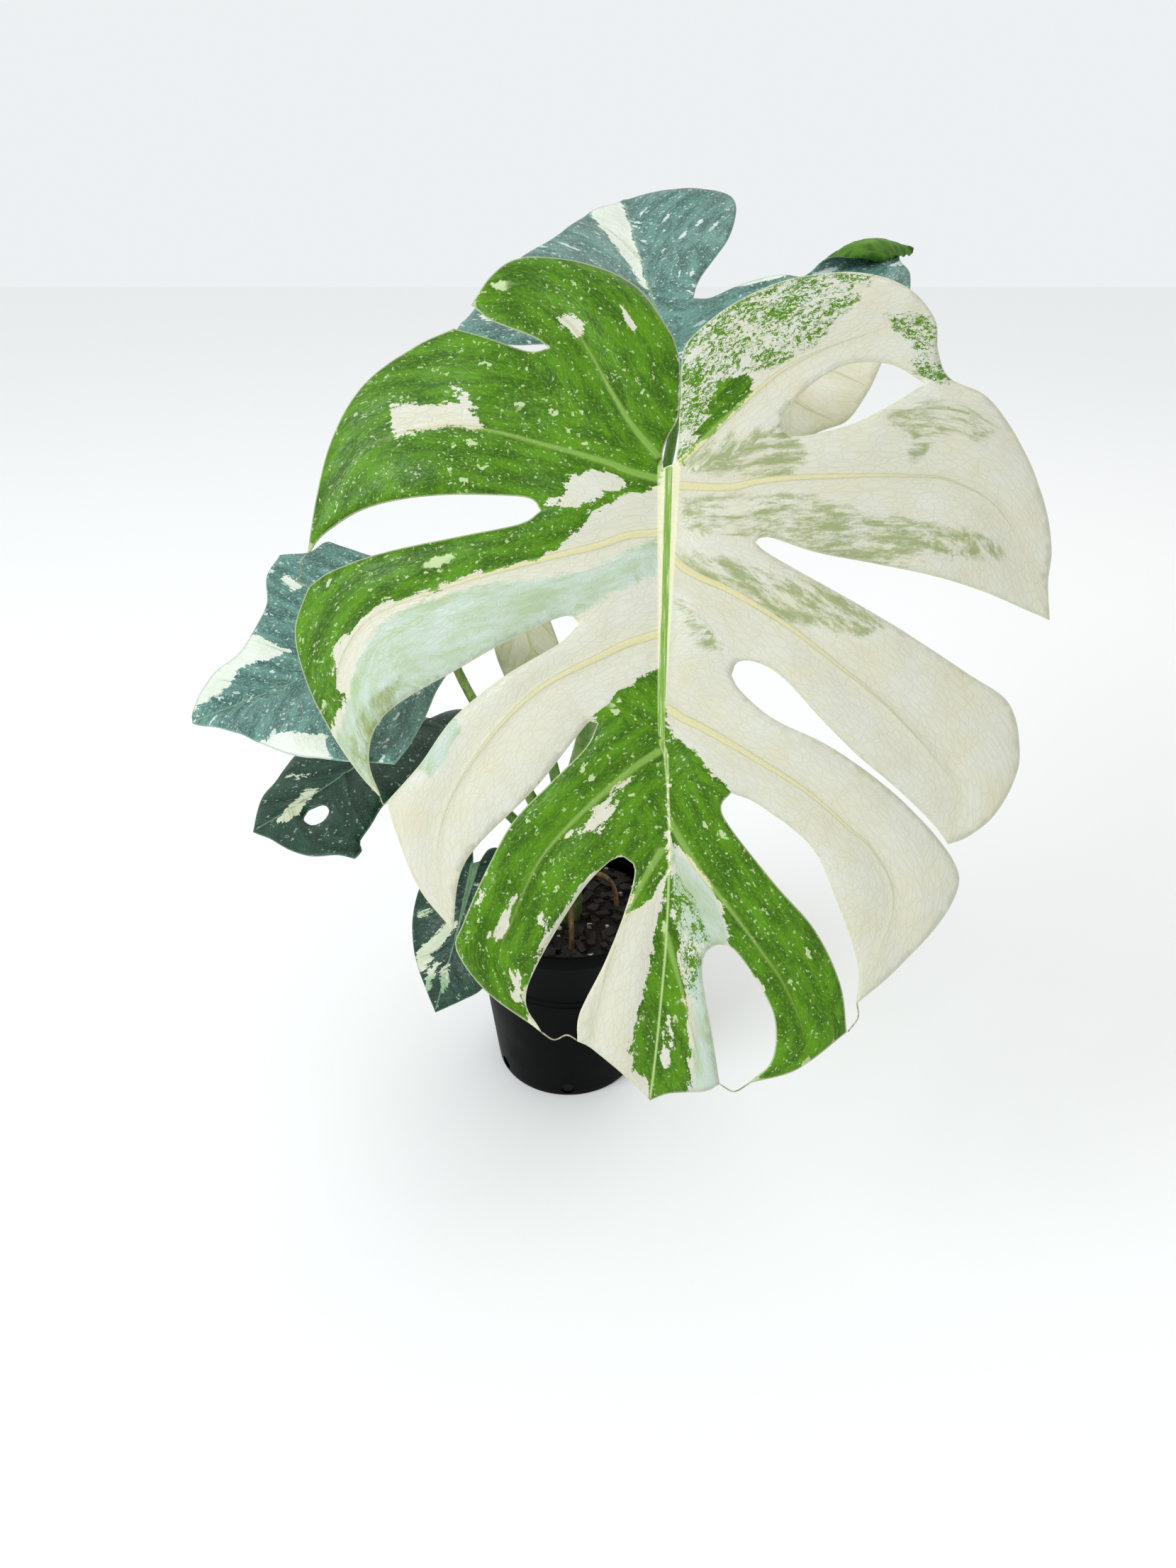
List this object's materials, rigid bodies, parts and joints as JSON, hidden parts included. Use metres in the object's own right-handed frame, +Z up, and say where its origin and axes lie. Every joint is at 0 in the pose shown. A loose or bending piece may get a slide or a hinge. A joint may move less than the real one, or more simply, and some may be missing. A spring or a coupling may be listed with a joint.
{
  "type": "potted monstera plant",
  "caption": "Potted variegated swiss cheese plant: slotted leaves on stalks, short stem, aerial roots, soil and a plastic nursery pot.",
  "frame": {"origin": "middle of the pot's flat underside, on the surface that the pot stands on", "axes": "+Z up along the pot's axis; -Y towards the viewer, the way the front leaf faces; +X to the viewer's right"},
  "size_m": [0.497, 0.6054, 0.6714],
  "materials": {
    "pot_plastic": "satin",
    "soil_mix": "matte",
    "stem_bark": "matte",
    "stalk_skin": "satin",
    "root_skin": "matte",
    "leaf_variegated": "satin",
    "leaf_dark": "satin",
    "leaf_cream": "satin"
  },
  "bodies": {
    "root": {"pot": "pot_plastic", "soil": "soil_mix", "stem": "stem_bark", "leaf_front": "leaf_variegated", "leaf_back": "leaf_dark", "leaf_left": "leaf_dark", "leaf_lower_left": "leaf_dark", "leaf_small": "leaf_variegated", "leaf_middle": "leaf_cream", "leaf_right_back": "leaf_cream", "stalk_front": "stalk_skin", "stalk_back": "stalk_skin", "stalk_left": "stalk_skin", "stalk_lower_left": "stalk_skin", "stalk_small": "stalk_skin", "stalk_middle": "stalk_skin", "stalk_right_back": "stalk_skin", "root_front": "root_skin", "root_left": "root_skin", "root_right": "root_skin"}
  },
  "joints": []
}
